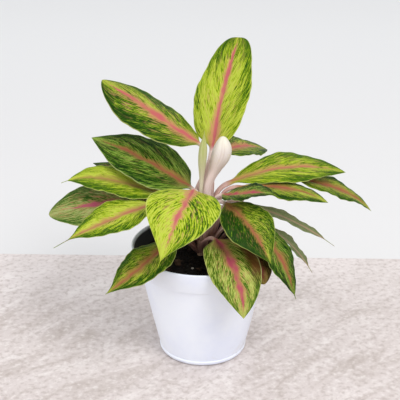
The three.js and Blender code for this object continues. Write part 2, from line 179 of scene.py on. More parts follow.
# Each leaf stands in an upright plane through the stem, turned by its azimuth from +X. start is where its
# petiole begins: direction round the stem, and height. spread is how far the petiole leans out there. base
# and tip are the blade's ends in that plane: distance from the stem, and height. rise and droop bend the
# blade up at its base and down at its tip, in degrees, and sway bends it to the left in millimetres. roll
# tilts it about its midline and fold lifts its halves. broadest is where it is widest, blunt and point
# shape its base and its tip, and tail is the share of its length that is drawn out into a thin tip.
LEAVES = {
    "crown": dict(azimuth=66, start=(66, 154), spread=4, base=(24, 216), tip=(92, 320),
                  rise=6, droop=4, width=67, roll=-12, fold=12, sway=2, point=0.35),
    "upper_left": dict(azimuth=152, start=(108, 150), spread=0, base=(1, 229), tip=(118, 282),
                       rise=0, droop=0, width=54, roll=-18, fold=-9, sway=-4, point=0.62, broadest=0.55,
                       blunt=0.4),
    "upper_right": dict(azimuth=52, start=(26, 148), spread=0, base=(21, 215), tip=(116, 193),
                        rise=14, droop=12, width=45, roll=16, fold=12, sway=0),
    "left_dark": dict(azimuth=158, start=(150, 146), spread=6, base=(11, 181), tip=(126, 222),
                      rise=8, droop=10, width=66, roll=-18, fold=10, sway=0, blunt=0.5),
    "left_back": dict(azimuth=148, start=(137, 122), spread=26, base=(26, 172), tip=(142, 183),
                      rise=10, droop=10, width=46, roll=-4, fold=10, sway=0),
    "left_middle": dict(azimuth=178, start=(177, 134), spread=18, base=(40, 177), tip=(145, 187.5),
                        rise=8, droop=30, width=48, roll=-16, fold=12, sway=0, blunt=0.5, tail=0.06),
    "left_low": dict(azimuth=182, start=(190, 117), spread=22, base=(50, 164), tip=(158, 157),
                     rise=14, droop=14, width=62, roll=-26, fold=10, sway=0, point=0.6, blunt=0.5),
    "left_front": dict(azimuth=206, start=(210, 129), spread=18, base=(52, 177), tip=(160, 150),
                       rise=6, droop=8, width=50, roll=-12, fold=12, sway=0, point=1.5, tail=0.12),
    "front": dict(azimuth=248, start=(246, 136), spread=14, base=(24, 190), tip=(112, 147),
                  rise=44, droop=34, width=73, roll=-8, fold=8, sway=7, point=1.35, broadest=0.4, tail=0.04),
    "rim_left": dict(azimuth=224.5, start=(226, 114.5), spread=44, base=(43, 138.5), tip=(131, 111.5),
                     rise=14, droop=4, width=51, roll=-2, fold=10, sway=7, point=1.3),
    "rim_right": dict(azimuth=291, start=(262, 116), spread=30, base=(31, 140), tip=(108, 90),
                      rise=34, droop=30, width=53, roll=6, fold=10, sway=5, blunt=0.42),
    "rim_shaded": dict(azimuth=316.3, start=(298, 113.5), spread=40, base=(46, 137), tip=(85, 104.8),
                       rise=30, droop=40, width=42, roll=2, fold=10, sway=0, point=0.6),
    "right_front": dict(azimuth=310.5, start=(289, 127), spread=16, base=(33, 178), tip=(100, 136),
                        rise=26, droop=22, width=53, roll=12, fold=10, sway=0, point=1.15),
    "right_low": dict(azimuth=330, start=(326, 117), spread=26, base=(58, 158), tip=(108, 85),
                      rise=22, droop=16, width=38, roll=10, fold=10, sway=0, tail=0.05),
    "right_small": dict(azimuth=323.5, start=(322, 134.5), spread=30, base=(24, 182), tip=(85, 198),
                        rise=0, droop=10, width=34, roll=12, fold=14, sway=0, blunt=0.5),
    "right_inner": dict(azimuth=349, start=(0, 130), spread=18, base=(34, 187.5), tip=(127, 178),
                        rise=14, droop=22, width=42, roll=4, fold=4, sway=0, broadest=0.55, blunt=0.9),
    "right_long": dict(azimuth=7, start=(4, 120), spread=34, base=(91, 192), tip=(179, 149),
                       rise=10, droop=22, width=38, roll=12, fold=12, sway=0),
    "right_behind": dict(azimuth=352, start=(350, 112), spread=34, base=(60, 150), tip=(115, 95),
                         rise=20, droop=16, width=26, roll=-38, fold=10, sway=0, tail=0.1),
    "right_upper": dict(azimuth=10, start=(344, 147), spread=8, base=(25, 186.8), tip=(151, 191),
                        rise=20, droop=20, width=54, roll=14, fold=10, sway=0, broadest=0.5, blunt=0.95),
    "right_narrow": dict(azimuth=14, start=(36, 114), spread=34, base=(36, 166), tip=(148, 101),
                         rise=12, droop=10, width=22, roll=-40, fold=6, sway=0, tail=0.1),
    "back_left": dict(azimuth=145, start=(160, 113), spread=34, base=(34, 148), tip=(102, 127),
                      rise=14, droop=10, width=34, roll=0, fold=10, sway=0),
    "back": dict(azimuth=112, start=(111, 114), spread=26, base=(36, 140), tip=(128, 98),
                 rise=26, droop=20, width=50, roll=0, fold=10, sway=0),
    "back_right": dict(azimuth=72, start=(74, 114), spread=28, base=(40, 138), tip=(130, 95),
                       rise=26, droop=20, width=48, roll=0, fold=10, sway=0),
}

# How each leaf is coloured. tone names its greens. dark is the share of dark strokes over the pale ground.
# edge, tip and left add to it towards the margin, towards the tip and on the left half seen from the
# stem. lean slants the strokes towards the tip. rib is half the width of the pink band in millimetres,
# core that of the deeper line in it, and reach is how far along the blade they run. flare widens the band
# at the base, blush spreads pink flecks over the blade and pink names their colours. shade paints a brown
# shadow, partly the leaf's own red, over the left half near the base, and tan browns the petiole. neck
# widens the whole petiole, and sheath its foot.
LOOKS = {
    "crown": dict(tone="lime", dark=0.26, edge=0.3, tip=0.4, left=-0.05, rib=3.8, core=2.0, reach=0.98,
                  flare=1.0, blush=0.3, pink="rose", neck=0.8, sheath=3.2),
    "upper_left": dict(tone="green", dark=0.34, edge=0.42, tip=0.1, left=0.25, rib=5.6, core=2.6, reach=0.94,
                       flare=0.3, blush=0.6, pink="salmon"),
    "upper_right": dict(tone="green", dark=0.5, edge=0.4, tip=0.3, left=0.0, rib=6.5, core=2, reach=0.85,
                        flare=0.3, blush=0.4, pink="salmon", neck=1.0, sheath=1.3),
    "left_dark": dict(tone="dark", dark=0.5, edge=0.25, tip=0.0, left=0.0, rib=4.6, core=1.7, reach=0.93,
                      flare=0.2, blush=0.3, pink="clay"),
    "left_back": dict(tone="dark", dark=0.75, edge=0.2, tip=0.2, left=0.0, rib=2.6, core=1, reach=0.9,
                      pink="clay"),
    "left_middle": dict(tone="lime", dark=0.12, edge=0.5, tip=0.2, left=0.3, rib=5, core=0.9, reach=0.9,
                        blush=0.3, pink="straw"),
    "left_low": dict(tone="grey", dark=0.41, edge=0.3, tip=0.0, left=-0.1, rib=5, core=3.2, reach=0.82,
                     blush=0.9, pink="magenta"),
    "left_front": dict(tone="lime", dark=0.18, edge=0.6, tip=0.4, left=0.1, rib=5, core=1.6, reach=0.86,
                       pink="sand", lean=0.45),
    "front": dict(tone="lime", dark=0.25, edge=0.22, tip=-0.1, left=0.2, rib=4.4, core=2.1, reach=0.84,
                  flare=0.6, blush=0.4, pink="rose", lean=0.42),
    "rim_left": dict(tone="green", dark=0.43, edge=0.4, tip=0.1, left=0.0, rib=6, core=1.6, reach=0.95,
                     blush=0.5, pink="clay"),
    "rim_right": dict(tone="olive", dark=0.38, edge=0.2, tip=0.0, left=0.1, rib=5.6, core=3.2, reach=0.94,
                      flare=0.4, blush=0.6, pink="crimson", lean=0.5, shade=0.85),
    # rim_shaded lies under rim_right and right_front: its brown tone and wine band are partly its own red,
    # partly painted shade.
    "rim_shaded": dict(tone="brown", dark=0.5, edge=0.2, tip=0.0, left=0.0, rib=7, core=3, reach=0.95,
                       blush=0.6, pink="wine"),
    # right_front's strokes darken it all over, most on its right half seen from the stem: partly its own
    # dark green, partly painted shade where the front leaf shades it and it faces away from the light.
    "right_front": dict(tone="green", dark=1.0, edge=0.1, tip=0.0, left=-0.42, rib=3.6, core=1.0, reach=0.94,
                        flare=0.8, blush=0.3, pink="clay", lean=0.5),
    "right_low": dict(tone="dark", dark=0.5, edge=0.3, tip=0.1, left=0.0, rib=5, core=1.6, reach=0.9,
                      blush=0.5, pink="clay"),
    "right_small": dict(tone="dark", dark=0.5, edge=0.5, tip=0.2, left=0.0, rib=4.6, core=2.6, reach=0.85,
                        blush=0.4, pink="crimson"),
    "right_inner": dict(tone="green", dark=0.42, edge=0.5, tip=0.1, left=0.0, rib=6, core=2, reach=0.9,
                        blush=0.5, pink="clay", neck=0.7, tan=0.6),
    "right_long": dict(tone="green", dark=0.34, edge=0.6, tip=0.0, left=0.0, rib=6, core=2.2, reach=0.97,
                       blush=0.5, pink="clay"),
    "right_behind": dict(tone="straw", dark=0.4, edge=0.1, tip=0.2, left=0.0, rib=2.4, core=0.6, reach=0.9,
                         pink="straw"),
    "right_upper": dict(tone="lime", dark=0.42, edge=0.4, tip=0.3, left=0.06, rib=4, core=1.2, reach=0.94,
                        flare=0.5, blush=0.4, pink="sand", neck=1.1, tan=0.5),
    "right_narrow": dict(tone="grey", dark=0.5, edge=0.1, tip=0.0, left=0.0, rib=2.4, core=0.6, reach=0.7,
                         pink="straw"),
    "back_left": dict(tone="dark", dark=0.7, edge=0.2, tip=0.1, left=0.0, rib=2.6, core=0.8, reach=0.9,
                      pink="clay"),
    "back": dict(tone="green", dark=0.5, edge=0.3, tip=0.1, left=0.0, rib=5, core=1.6, reach=0.9,
                 pink="salmon"),
    "back_right": dict(tone="green", dark=0.45, edge=0.3, tip=0.1, left=0.0, rib=5, core=1.6, reach=0.9,
                       pink="salmon"),
}

# A stroke shows where its noise is above a level, which sinks as the share of dark rises. Its edge is
# nearly sharp.
STROKE_LEVEL = 0.65
STROKE_SINK = 0.3
STROKE_EDGE = 0.014

# The ground, its paler flecks, the strokes and the deepest strokes.
TONES = {
    "lime": ("96a616", "b2c044", "5f8408", "2c4c00"),
    "green": ("84961c", "aab444", "3e6806", "183800"),
    "dark": ("5e801e", "8ea448", "2c5206", "0e2a00"),
    "olive": ("8c983a", "b0b860", "4c7010", "244400"),
    "grey": ("7e8c42", "9ca266", "40681a", "22440e"),
    "straw": ("888448", "a49e70", "646828", "44481c"),
    # brown darkens the greens of the leaf that lies in shadow: partly its own colour, partly painted shade.
    "brown": ("66501f", "7a6c36", "42380e", "2a2406"),
}

# The soft band and the deeper line in it.
PINKS = {
    "rose": ("be7e64", "b45c60"), "salmon": ("b47e58", "b65a5c"), "clay": ("946a3c", "9c5a42"),
    "sand": ("aa8450", "ac6e54"), "straw": ("96823e", "a27c4c"), "magenta": ("9c6c4e", "a84c64"),
    # wine is the deep red of that same leaf in shadow, partly painted shade.
    "crimson": ("a8704e", "a8485a"), "wine": ("5e3620", "6a2c2a"),
}


def colour(code):
    """A colour from its six hexadecimal digits, as Blender's linear red, green, blue and alpha."""
    shares = [int(code[i:i + 2], 16) / 255 for i in (0, 2, 4)]
    return (*[(s / 12.92 if s < 0.04045 else ((s + 0.055) / 1.055) ** 2.4) for s in shares], 1.0)


def lerp(a, b, share):
    return a + (b - a) * share


def smooth(value, low, high):
    share = min(max((value - low) / (high - low), 0.0), 1.0)
    return share * share * (3 - 2 * share)


# ---------------------------------------------------------------- materials

class Paint:
    """Builds the nodes of one material. A value is a number, a colour or another node's output."""

    def __init__(self, name, specular):
        self.material = bpy.data.materials.new(name)
        self.material.use_nodes = True
        self.tree = self.material.node_tree
        self.shader = self.tree.nodes["Principled BSDF"]
        self.shader.inputs["Specular IOR Level"].default_value = specular

    def put(self, value, socket):
        if isinstance(value, bpy.types.NodeSocket):
            self.tree.links.new(value, socket)
        else:
            socket.default_value = value

    def node(self, kind, **settings):
        made = self.tree.nodes.new(kind)
        for name, value in settings.items():
            setattr(made, name, value)
        return made

    def math(self, operation, *values):
        made = self.node("ShaderNodeMath", operation=operation)
        for value, socket in zip(values, made.inputs):
            self.put(value, socket)
        return made.outputs[0]

    def add(self, *values):
        total = values[0]
        for value in values[1:]:
            total = self.math("ADD", total, value)
        return total

    def times(self, *values):
        total = values[0]
        for value in values[1:]:
            total = self.math("MULTIPLY", total, value)
        return total

    def band(self, value, low, high, start=0.0, end=1.0):
        """Runs smoothly from start to end as the value runs from low to high, which may be the lower."""
        made = self.node("ShaderNodeMapRange", interpolation_type="SMOOTHSTEP")
        for item, socket in zip((value, low, high, start, end), made.inputs):
            self.put(item, socket)
        return made.outputs[0]

    def mix(self, share, first, second):
        made = self.node("ShaderNodeMix", data_type="RGBA")
        self.put(share, made.inputs[0])
        self.put(first, made.inputs[6])
        self.put(second, made.inputs[7])
        return made.outputs[2]

    def vector(self, x, y, z):
        made = self.node("ShaderNodeCombineXYZ")
        for value, socket in zip((x, y, z), made.inputs):
            self.put(value, socket)
        return made.outputs[0]

    def split(self, vector):
        made = self.node("ShaderNodeSeparateXYZ")
        self.put(vector, made.inputs[0])
        return made.outputs

    def attribute(self, name, output):
        return self.node("ShaderNodeAttribute", attribute_name=name).outputs[output]

    def wave(self, value):
        """How far a sine wave stands from zero, either way."""
        return self.math("ABSOLUTE", self.math("SINE", value))

    def object_place(self):
        return self.node("ShaderNodeTexCoord").outputs["Object"]

    def noise(self, place, scale, detail=2.0, roughness=0.5, distortion=0.0):
        made = self.node("ShaderNodeTexNoise")
        self.put(place, made.inputs["Vector"])
        made.inputs["Scale"].default_value = scale
        made.inputs["Detail"].default_value = detail
        made.inputs["Roughness"].default_value = roughness
        made.inputs["Distortion"].default_value = distortion
        return made.outputs["Fac"]

    def speckle(self, place, scale):
        made = self.node("ShaderNodeTexVoronoi")
        self.put(place, made.inputs["Vector"])
        made.inputs["Scale"].default_value = scale
        return made.outputs["Distance"]

    def relief(self, height, depth_mm, strength=1.0):
        """Shades the surface as if it stood up by the height."""
        made = self.node("ShaderNodeBump")
        made.inputs["Strength"].default_value = strength
        made.inputs["Distance"].default_value = depth_mm * MM
        self.put(height, made.inputs["Height"])
        self.tree.links.new(made.outputs[0], self.shader.inputs["Normal"])

    def finish(self, base, roughness):
        self.put(base, self.shader.inputs["Base Color"])
        self.put(roughness, self.shader.inputs["Roughness"])
        return self.material


class LeafPaint(Paint):
    """The paint of one leaf. It holds where a point lies on the leaf, and the strokes over the blade."""

    def __init__(self, name, look, seed):
        super().__init__(f"leaf_{name}", specular=0.09)
        self.look = look
        self.seed = seed
        self.across, self.along, self.face = self.split(self.attribute("blade", "Vector"))
        self.from_rib = self.attribute("from_rib", "Fac")
        self.side = self.math("ABSOLUTE", self.across)
        self.half = self.math("SIGN", self.across)
        slant = self.times(look.get("lean", VEIN_LEAN), self.math("POWER", self.side, VEIN_BEND))
        self.lean = self.math("SUBTRACT", self.along, slant)
        fleck = self.streaks(50, 8, 3, 0, detail=2.0, roughness=0.72)
        broad = self.streaks(17, 3, 5, 20)
        stripe = self.wave(self.times(self.add(self.times(self.lean, 27), self.times(fleck, 2.6)), math.pi))
        self.strokes = self.add(
            self.times(fleck, 0.66), self.times(broad, 0.2), self.times(stripe, 0.14), -0.02)

    def streaks(self, along, across, halves, seed, **settings):
        """Noise drawn out along the side veins, and different on the blade's two halves."""
        layer = self.add(self.times(self.half, halves), self.seed + seed)
        place = self.vector(self.times(self.lean, along), self.times(self.side, across), layer)
        return self.noise(place, 1.0, **settings)

    def ragged(self, depth_mm):
        """How far a point is from the rib, with an edge that the strokes fray."""
        return self.add(self.from_rib, self.times(self.math("SUBTRACT", self.strokes, 0.5), depth_mm))


def leaf_ground(p):
    """The pale ground with its paler flecks, and the dark strokes over it."""
    look = p.look
    ground, yellow, stroke, deepest = [colour(code) for code in TONES[look["tone"]]]
    patch = p.noise(p.vector(p.times(p.lean, 5), p.times(p.across, 1.4), p.seed + 40.0), 1.0)
    share = p.add(
        look["dark"],
        p.times(p.band(p.side, 0.3, 0.95), p.band(p.along, 0.1, 0.6, 0.4, 1.0), look["edge"]),
        p.times(p.band(p.along, 0.6, 1.0), look["tip"]),
        p.times(p.band(p.across, -0.1, 0.1), look["left"]),
        p.math("SUBTRACT", patch, 0.5),
        p.times(p.band(p.from_rib, 6.0, 1.0), -0.25),
        p.times(p.band(p.along, 0.16, 0.0), -0.3),
    )
    level = p.math("SUBTRACT", STROKE_LEVEL, p.times(share, STROKE_SINK))
    dark = p.band(p.strokes, p.math("SUBTRACT", level, STROKE_EDGE), p.add(level, STROKE_EDGE))
    deep = p.band(p.strokes, p.add(level, 0.01), p.add(level, 0.07, p.times(share, 0.08)))
    pale = p.band(p.strokes, p.math("SUBTRACT", level, 0.03), p.math("SUBTRACT", level, 0.12))
    return p.mix(dark, p.mix(pale, ground, yellow), p.mix(deep, stroke, deepest))


def leaf_band(p, blade):
    """Lays pink flecks, the feathered pink band along the rib and its deeper line over the blade."""
    look = p.look
    reach = look["reach"]
    pink, deeper = [colour(code) for code in PINKS[look["pink"]]]
    lengthwise = p.noise(p.vector(p.times(p.along, 6.5), p.times(p.half, 2), p.seed + 80.0), 1.0, 1.0)
    swell = p.times(p.band(p.along, -0.05, 0.4, 0.6, 1.0), p.band(p.along, reach, reach - 0.35, 0.2, 1.0))
    swell = p.times(swell, p.band(lengthwise, 0.3, 0.7, 0.55, 1.3))
    wide = p.add(swell, p.band(p.along, 0.45, 0.05, 0.0, look.get("flare", 0.0)))
    ends = p.band(p.along, reach + 0.03, reach - 0.1)

    spots = p.streaks(30, 8, 7, 33)
    blush = p.times(p.band(spots, 0.52, 0.66), p.band(p.side, 0.9, 0.5), look.get("blush", 0.2))
    flush = p.times(p.band(p.along, 0.22, 0.02), p.band(p.side, 1.0, 0.2), 0.42)
    blade = p.mix(p.math("MAXIMUM", flush, blush), blade, p.mix(0.5, colour("ae8a5e"), pink))

    wash = p.band(p.ragged(16.0), p.times(wide, look["rib"] * 1.4), p.times(wide, look["rib"] * 0.5))
    blade = p.mix(p.times(wash, ends, 0.84), blade, pink)
    core = p.band(p.ragged(3.0), p.times(swell, look["core"] * 1.5), p.times(swell, look["core"] * 0.6))
    hot = p.band(lengthwise, 0.34, 0.6, 0.3, 1.0)
    return p.mix(p.times(core, ends, hot, 0.95), blade, deeper)


def leaf_margin(p, blade):
    """Paints a brown shadow, partly the leaf's own red, near the base of the one leaf whose look has a
    shade, and draws the blade's pale margin.
    """
    if "shade" in p.look:
        # Painted shadow, partly the leaf's own red: the left half near the base turns dark brown-red where
        # right_front shades it.
        painted_shadow_corner = p.times(p.band(p.across, 0.4, 0.75), p.band(p.along, 0.75, 0.5), p.look["shade"])
        blade = p.mix(painted_shadow_corner, blade, colour("5c3219"))
    yellow = colour(TONES[p.look["tone"]][1])
    return p.mix(p.times(p.band(p.side, 0.95, 0.985), 0.6), blade, p.mix(0.4, yellow, colour("c0b482")))


def leaf_underside(p):
    """Paler and greyer green, with a light rib."""
    under = p.mix(p.band(p.strokes, 0.4, 0.62), colour("a3b07a"), colour("76895a"))
    return p.mix(p.times(p.band(p.from_rib, 2.2, 0.6), 0.7), under, colour("d2b096"))


def leaf_petiole(p):
    """Pinkish white, lighter than the stalks' own as painted light against their shade. Towards the soil
    browner and then dark: partly their own browning, partly painted shade under the leaves. The leaves
    whose looks say so are browner.
    """
    grain = p.noise(p.vector(p.times(p.across, 9), p.times(p.along, 3), p.seed + 60.0), 1.0)
    # Painted light: the pinkish white is set lighter than the stalks' own, to offset the shade they stand
    # in.
    petiole = p.mix(p.band(grain, 0.35, 0.65), colour("efdcd5"), colour("d6bab0"))
    # Painted shade, partly the stalks' own browning: they turn browner and then dark towards the soil, under
    # the leaves.
    height = p.split(p.object_place())[2]
    brown = p.math("MAXIMUM", p.band(height, 0.16, 0.125, 0.0, 0.8), p.look.get("tan", 0.0))
    petiole = p.mix(brown, petiole, colour("b07c6c"))
    return p.mix(p.band(height, 0.15, 0.12, 0.0, 0.75), petiole, colour("6a463c"))


def leaf_paint(name, look, seed):
    """The whole leaf: the blade's two faces, the petiole below it, and a relief of the side veins."""
    p = LeafPaint(name, look, seed)
    blade = leaf_margin(p, leaf_band(p, leaf_ground(p)))
    surface = p.mix(p.band(p.face, -0.95, -0.7), leaf_underside(p), blade)
    surface = p.mix(p.band(p.along, -0.02, 0.05), leaf_petiole(p), surface)
    veins = p.wave(p.times(p.lean, math.pi * VEINS))
    p.relief(p.add(p.times(p.math("POWER", veins, 0.5), 0.7), p.times(p.strokes, 0.5)), 0.16, 0.7)
    return p.finish(surface, p.add(0.38, p.times(p.strokes, 0.26)))


def pot_paint():
    """White moulded plastic, faintly marbled, with smudges on the foot. Below the rim it is near-black
    inside, as painted shade in the pot's hollow with some soil stain.
    """
    p = Paint("pot_plastic", specular=0.5)
    place = p.object_place()
    x, y, z = p.split(place)
    marble = p.noise(place, 14, 4.0, 0.6)
    fine = p.noise(place, 420, 3.0, 0.6)
    base = p.mix(p.band(marble, 0.35, 0.7), colour("f1f6ff"), colour("e7edfd"))
    smudge = p.times(p.band(p.noise(place, 32, 5.0, 0.65), 0.56, 0.72), p.band(z, 0.03, 0.0), 0.5)
    base = p.mix(smudge, base, colour("c9c1b8"))
    facing_x, facing_y, _ = p.split(p.node("ShaderNodeNewGeometry").outputs["Normal"])
    outwards = p.add(p.times(x, facing_x), p.times(y, facing_y))
    # Painted shade: below the rim the inner wall turns near-black for the shade inside the pot, with some
    # soil stain.
    inside = p.times(p.band(outwards, -0.01, -0.03), p.band(z, 0.121, 0.1185), p.band(fine, 0.0, 0.3))
    base = p.mix(p.times(inside, 0.98), base, colour("0c0808"))
    scratch = p.noise(p.vector(p.times(x, 90), p.times(y, 90), p.times(z, 1400)), 1.0, 2.0)
    p.relief(p.add(p.times(fine, 0.5), p.times(scratch, 0.5)), 0.05, 0.5)
    return p.finish(base, p.add(0.26, p.times(marble, 0.16), p.times(inside, 0.6)))


def soil_paint(name, dark, light, scale):
    """Rough crumbly matter that runs from a dark tone to a lighter one."""
    p = Paint(name, specular=0.2)
    place = p.object_place()
    crumbs = p.noise(place, scale, 6.0, 0.7)
    base = p.mix(p.band(crumbs, 0.42, 0.72), colour(dark), colour(light))
    p.relief(p.add(crumbs, p.times(p.speckle(place, scale * 4), 0.6)), 0.9)
    return p.finish(base, 0.95)


def cane_paint():
    """Pinkish brown cane with darker ring scars and fine lengthwise lines."""
    p = Paint("cane", specular=0.35)
    x, y, z = p.split(p.object_place())
    lines = p.noise(p.vector(p.times(x, 900), p.times(y, 900), p.times(z, 60)), 1.0, 3.0)
    joint = p.wave(p.times(z, math.pi * STEM_JOINTS / ((STEM_TOP - STEM_FOOT) * MM)))
    base = p.mix(p.band(lines, 0.35, 0.7), colour("c4a48f"), colour("96705c"))
    base = p.mix(p.times(p.band(joint, 0.22, 0.02), 0.7), base, colour("6b4b3c"))
    p.relief(lines, 0.2, 0.6)
    return p.finish(base, 0.55)


def spathe_paint(name, low, pale, tint, tip):
    """Waxy spathe with fine lengthwise veins, tinted towards its tip."""
    p = Paint(name, specular=0.4)
    around, along, _ = p.split(p.attribute("blade", "Vector"))
    veins = p.noise(p.vector(p.times(around, 26), p.times(along, 1.5), 3.0), 1.0, 2.0)
    spots = p.noise(p.object_place(), 230, 3.0, 0.6)
    base = p.mix(p.band(veins, 0.4, 0.68), colour(pale), colour(tint))
    base = p.mix(p.times(p.band(spots, 0.58, 0.7), 0.3), base, colour("d6c894"))
    base = p.mix(p.times(p.band(along, 0.75, 1.0), 0.8), base, colour(tip))
    base = p.mix(p.times(p.band(along, 0.85, 0.35), 0.85), base, colour(low))
    p.relief(veins, 0.15, 0.6)
    return p.finish(base, p.add(0.36, p.times(spots, 0.15)))


def stage_paint():
    """A plain pale floor with faint stone clouds and grit, and a smooth paler tone behind the plant. That
    tone grows lighter further back, as painted light against the lamps' fall-off.
    """
    p = Paint("pale_floor", specular=0.2)
    place = p.object_place()
    x, y, _ = p.split(place)
    behind = p.band(p.add(y, p.times(x, WALL_SLANT)), *WALL_FOOT)
    # Painted light: the tone behind the plant is lighter further back, to make up for the lamps' fall-off.
    far = p.mix(p.band(y, 0.2, 1.7), colour("e4e3e3"), colour("f0f0f0"))
    base = p.mix(behind, colour("d5cbc8"), far)
    stone = p.math("SUBTRACT", 1.0, behind)
    drift = p.vector(p.add(p.times(x, 0.7), p.times(y, 0.7)), p.times(p.math("SUBTRACT", y, x), 2.4), 0.0)
    clouds = p.noise(drift, 9, 6.0, 0.66, 0.9)
    base = p.mix(p.times(p.band(clouds, 0.46, 0.7), stone, 0.7), base, colour("b4a8a1"))
    base = p.mix(p.times(p.band(clouds, 0.48, 0.3), stone, 0.75), base, colour("ebe4e1"))
    base = p.mix(p.times(p.band(y, 0.02, 0.2), stone, 0.45), base, colour("efe7e5"))
    grit = p.noise(place, 160, 3.0, 0.6)
    base = p.mix(p.times(p.band(grit, 0.5, 0.66), stone, 0.42), base, colour("a99c95"))
    base = p.mix(p.times(p.band(grit, 0.46, 0.34), stone, 0.4), base, colour("eee8e5"))
    return p.finish(base, 0.6)


# ---------------------------------------------------------------- making meshes

def piece(name, bm, material, node, sharp):
    """Turns a bmesh in millimetres into a finished piece, which stands for a node where one is given.
    Edges that bend by more than sharp degrees stay crisp."""
    bmesh.ops.recalc_face_normals(bm, faces=bm.faces)
    bmesh.ops.transform(bm, matrix=Matrix.Scale(MM, 4), verts=bm.verts)
    mesh = bpy.data.meshes.new(name)
    bm.to_mesh(mesh)
    bm.free()
    mesh.shade_smooth()
    mesh.set_sharp_from_angle(angle=math.radians(sharp))
    made = bpy.data.objects.new(name, mesh)
    bpy.context.scene.collection.objects.link(made)
    mesh.materials.append(material)
    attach(made, "root")
    if node:
        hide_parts(node)
    return made


def tube(sides, rings):
    """A closed upright tube, with rings of points from its foot to its top. Gives the bmesh, its layer
    for the pattern and, for each vertex, which side line and which ring it is on. Both layers are made
    before the vertices, because a later one would cut off every vertex that is already held."""
    bm = bmesh.new()
    pattern = bm.verts.layers.float_vector.new("blade")
    bm.verts.layers.float.new("from_rib")
    bmesh.ops.create_cone(bm, cap_ends=True, segments=sides, radius1=1, radius2=1, depth=1)
    upright = [e for e in bm.edges if abs(e.verts[0].co.z - e.verts[1].co.z) > 0.5]
    bmesh.ops.subdivide_edges(bm, edges=upright, cuts=rings - 1)
    places = {}
    for vert in bm.verts:
        turn = math.atan2(vert.co.y, vert.co.x) % (2 * math.pi)
        places[vert] = (round(turn / (2 * math.pi) * sides) % sides, round((vert.co.z + 0.5) * rings))
    return bm, pattern, places


def turned(profile, sides):
    """A closed form: a profile of (radius, height) points turned round the Z axis."""
    bm = bmesh.new()
    verts = [bm.verts.new((radius, 0, height)) for radius, height in profile]
    edges = [bm.edges.new(pair) for pair in zip(verts, verts[1:])]
    bmesh.ops.spin(
        bm, geom=verts + edges, cent=(0, 0, 0), axis=(0, 0, 1), angle=2 * math.pi,
        steps=sides, use_merge=True, dvec=(0, 0, 0),
    )
    bmesh.ops.remove_doubles(bm, verts=bm.verts, dist=1e-3)
    return bm


def rounded(profile, radius_mm, corners):
    """Rounds the named corners of a profile with short arcs."""
    points = []
    for k, point in enumerate(profile):
        if k not in corners:
            points.append(point)
            continue
        here = Vector(point)
        before = Vector(profile[k - 1]) - here
        after = Vector(profile[k + 1]) - here
        reach = min(radius_mm, before.length * 0.45, after.length * 0.45)
        first = here + before.normalized() * reach
        last = here + after.normalized() * reach
        for s in range(ARC_STEPS + 1):
            share = s / ARC_STEPS
            at = first * (1 - share) ** 2 + here * (2 * share * (1 - share)) + last * share ** 2
            points.append(tuple(at))
    return points


# ---------------------------------------------------------------- pot

def pot_radius(height):
    return lerp(FOOT_RADIUS, WAIST_RADIUS, (height / COLLAR_FOOT) ** POT_BULGE)


def taper(low, inset, steps=14):
    """Points up the pot's wall, moved inwards by the inset."""
    heights = [lerp(low, COLLAR_FOOT, k / steps) for k in range(steps + 1)]
    return [(pot_radius(height) - inset, height) for height in heights]


def pot_outline():
    """Half of the pot's section, from the middle of its underside, up its outside and down its inside."""
    band = pot_radius(FOOT_BAND) + FOOT_STEP
    foot = rounded(
        [(0, 0), (FOOT_FLAT, 0), (band - 2, 0.8), (band - 0.4, 3), (band, FOOT_BAND - 0.7),
         (pot_radius(FOOT_BAND), FOOT_BAND)], FOOT_ROUND, (1, 2, 3, 4))
    collar = rounded(
        [(WAIST_RADIUS, COLLAR_FOOT), (WAIST_RADIUS + COLLAR_STEP, COLLAR_FOOT + 1.2),
         (RIM_RADIUS, POT_HEIGHT - 0.2), (RIM_RADIUS - POT_WALL, POT_HEIGHT),
         (WAIST_RADIUS + COLLAR_STEP - POT_WALL, COLLAR_FOOT + 4)], COLLAR_ROUND, (1, 2, 3))
    outer = foot[:-1] + taper(FOOT_BAND, 0)[:-1]
    inner = taper(FOOT_BAND + 2, POT_WALL)[::-1] + [(FOOT_FLAT, POT_FLOOR), (0, POT_FLOOR)]
    return outer + collar + inner


def drill_hole(pot, angle):
    """Cuts one drain hole into the pot, and gives the drill, which the cut needs until it is applied."""
    place = Vector((math.cos(angle), math.sin(angle), 0)) * DRAIN_CIRCLE * MM
    bm = bmesh.new()
    bmesh.ops.create_cone(
        bm, cap_ends=True, segments=32, radius1=DRAIN_RADIUS * MM, radius2=DRAIN_RADIUS * MM,
        depth=4 * POT_FLOOR * MM, matrix=Matrix.Translation(place),
    )
    mesh = bpy.data.meshes.new("drill")
    bm.to_mesh(mesh)
    bm.free()
    drill = bpy.data.objects.new("drill", mesh)
    bpy.context.scene.collection.objects.link(drill)
    cut = pot.modifiers.new("drain_hole", "BOOLEAN")
    cut.operation = "DIFFERENCE"
    cut.solver = "EXACT"
    cut.object = drill
    return drill


def make_pot():
    pot = piece("pot_body", turned(pot_outline(), POT_SIDES), pot_paint(), "pot", sharp=35)
    drills = [drill_hole(pot, 2 * math.pi * i / DRAIN_HOLES) for i in range(DRAIN_HOLES)]
    shape = bpy.context.evaluated_depsgraph_get()
    pot.data = bpy.data.meshes.new_from_object(pot.evaluated_get(shape))
    pot.modifiers.clear()
    for drill in drills:
        bpy.data.objects.remove(drill)


# ---------------------------------------------------------------- soil

def soil_layer(x, y, layer):
    scale, height, depth = layer
    return noise.noise(Vector((x, y, depth)) * scale) * height


